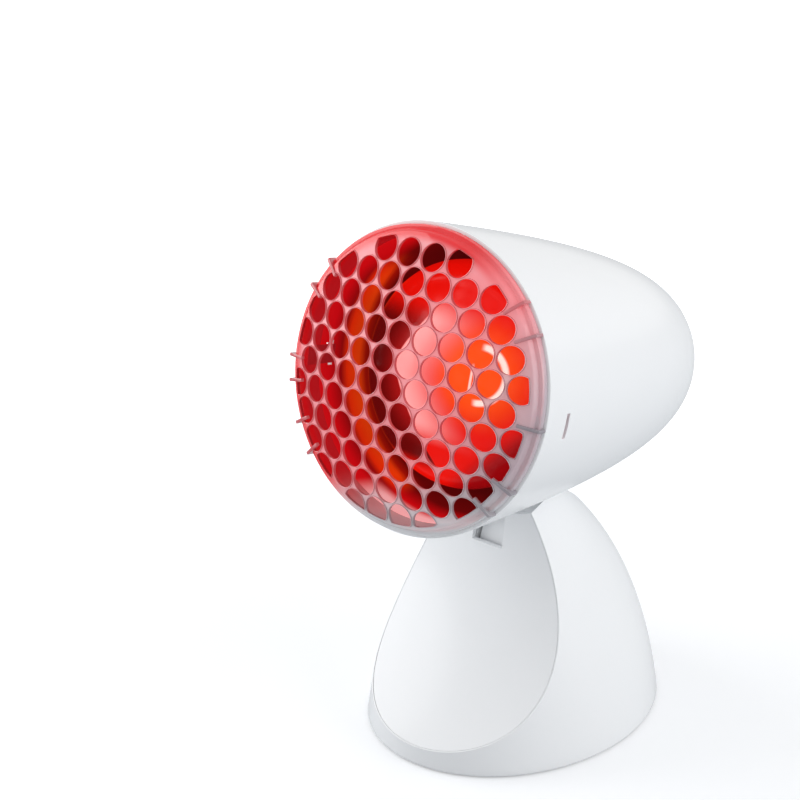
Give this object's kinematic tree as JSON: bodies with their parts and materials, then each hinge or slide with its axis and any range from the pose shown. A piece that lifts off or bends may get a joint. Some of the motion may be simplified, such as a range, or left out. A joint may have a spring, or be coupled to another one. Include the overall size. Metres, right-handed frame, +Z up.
{
  "type": "infrared heat therapy lamp",
  "caption": "Free-standing infrared heat lamp: a tapered round head with a clear perforated guard over a red reflector bulb, tilting on a hollow-fronted oval stand.",
  "frame": {"origin": "middle of the oval stand, on the floor", "axes": "+Z up; the lamp shines towards -Y with its head tilted up 13.4 degrees; +X is on the right of someone facing it"},
  "size_m": [0.1282, 0.1902, 0.24],
  "materials": {
    "white_shell": "glossy moulded white",
    "plain_white": "fine satin moulded white",
    "clear_plastic": "polished clear",
    "red_glass": "smooth ruby red",
    "clear_glass": "smooth clear",
    "black_glass": "smooth black",
    "ceramic": "glazed white",
    "black_plastic": "satin moulded black",
    "rubber": "matt",
    "steel": "zinc plated",
    "brass": "bright",
    "brown_lead": "satin sleeve",
    "blue_lead": "satin sleeve"
  },
  "bodies": {
    "stand": {"stand_shell": "white_shell", "front_panel": "white_shell", "base_plate": "plain_white", "rubber_foot_1": "rubber", "rubber_foot_2": "rubber", "rubber_foot_3": "rubber", "rubber_foot_4": "rubber", "base_screw_1": "steel", "base_screw_2": "steel", "base_screw_3": "steel", "base_screw_4": "steel", "hinge_pin": "steel", "hinge_nut": "steel", "friction_washer_left": "black_plastic", "friction_washer_right": "black_plastic", "detent_leaf": "steel", "detent_screw": "steel", "cord_gland": "black_plastic", "gland_nut": "black_plastic", "switch_housing": "black_plastic", "terminal_block": "plain_white", "terminal_screw_1": "brass", "terminal_screw_2": "brass", "stand_lead_live": "brown_lead", "stand_lead_neutral": "blue_lead", "switch_lead": "brown_lead"},
    "rocker": {"switch_rocker": "black_plastic"},
    "head": {"tilt_arm": "white_shell", "arm_screw_1": "steel", "arm_screw_2": "steel", "head_lead_live": "brown_lead", "head_lead_neutral": "blue_lead", "head_shell": "white_shell", "holder_plate": "steel", "holder_screw_1": "steel", "holder_screw_2": "steel", "holder_screw_3": "steel", "lamp_holder": "ceramic", "holder_ring": "ceramic", "thread_sleeve": "brass", "contact_spring": "brass"},
    "guard": {"clear_guard": "clear_plastic"},
    "bulb_tip": {"tip_contact": "brass"},
    "bulb": {"bulb_glass": "red_glass", "bulb_cap": "brass", "cap_insulator": "black_glass", "glass_stem": "clear_glass", "filament_support_left": "steel", "filament_support_right": "steel", "filament": "steel"}
  },
  "joints": [
    {"name": "head_tilt", "type": "hinge", "parent": "stand", "child": "head", "pos_m": [0, 0.005, 0.08], "axis": [-1, 0, 0], "range_deg": [-10, 30]},
    {"name": "switch_press", "type": "hinge", "parent": "stand", "child": "rocker", "pos_m": [0, 0.06583, 0.03496], "axis": [1, 0, 0], "range_deg": [0, 16]},
    {"name": "guard_pull", "type": "slide", "parent": "head", "child": "guard", "axis": [0, -0.9728, 0.2317], "range_m": [0, 0.022]},
    {"name": "bulb_advance", "type": "slide", "parent": "head", "child": "bulb_tip", "axis": [0, -0.9728, 0.2317], "range_m": [0, 0.0091]},
    {"name": "bulb_unscrew", "type": "hinge", "parent": "bulb_tip", "child": "bulb", "pos_m": [0, -0.0698, 0.17769], "axis": [0, -0.9728, 0.2317], "range_deg": [0, 900]}
  ],
  "couplings": [
    {"joint": "bulb_advance", "follows": "bulb_unscrew", "m_per_rad": 0.00057614}
  ]
}
